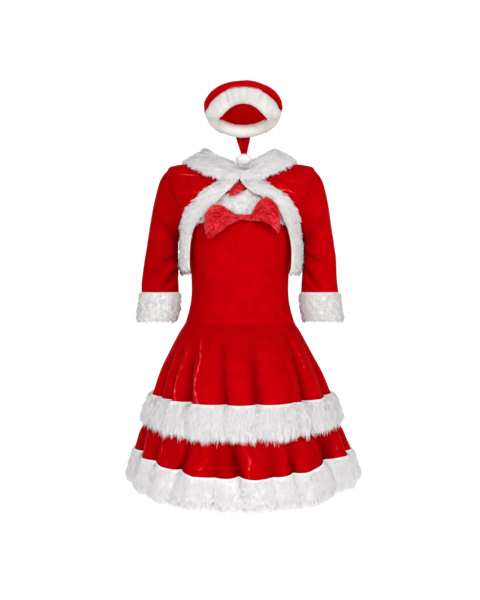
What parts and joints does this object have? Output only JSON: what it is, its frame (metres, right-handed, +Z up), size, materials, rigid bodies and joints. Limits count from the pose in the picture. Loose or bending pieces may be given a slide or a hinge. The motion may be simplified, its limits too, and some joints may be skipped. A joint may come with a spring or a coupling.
{
  "type": "christmas costume set of dress, bolero and hat",
  "caption": "Red velvet christmas costume: strapless drop-waist dress with fur-edged tiered skirt, fur-trimmed bolero with cuffs, and a soft pointed hat, filled out as worn.",
  "frame": {"origin": "centre of the bolero's neck opening, level with the tops of the shoulders, where the wearer holds the set up", "axes": "+Z up, -Y towards the front of the garment, +X to the right as seen from the front"},
  "size_m": [0.5865, 0.5608, 0.9863],
  "materials": {
    "velvet": "red velvet with a short soft nap",
    "satin": "crumpled pinkish red satin with a soft sheen",
    "fur": "long-haired white faux fur",
    "plush": "short warm white plush"
  },
  "bodies": {
    "root": {"bodice_front": "velvet", "bodice_side_front_left": "velvet", "bodice_side_front_right": "velvet", "bodice_back": "velvet", "bust_fur": "fur", "skirt_upper_front": "velvet", "skirt_upper_back": "velvet", "skirt_fur_mid_front": "fur", "skirt_fur_mid_back": "fur", "skirt_flounce_front": "velvet", "skirt_flounce_back": "velvet", "skirt_fur_hem_front": "fur", "skirt_fur_hem_back": "fur", "bow_left": "satin", "bow_right": "satin", "bow_center": "satin", "bolero_front_left": "velvet", "bolero_front_right": "velvet", "bolero_back": "velvet", "sleeve_left": "velvet", "sleeve_right": "velvet", "cuff_left": "fur", "cuff_right": "fur", "collar_fur": "fur", "edge_fur_left": "fur", "edge_fur_right": "fur", "back_hem_fur": "fur", "throat_tie": "satin", "hat_band": "plush", "hat_crown": "velvet", "hat_pompom": "plush"}
  },
  "joints": []
}
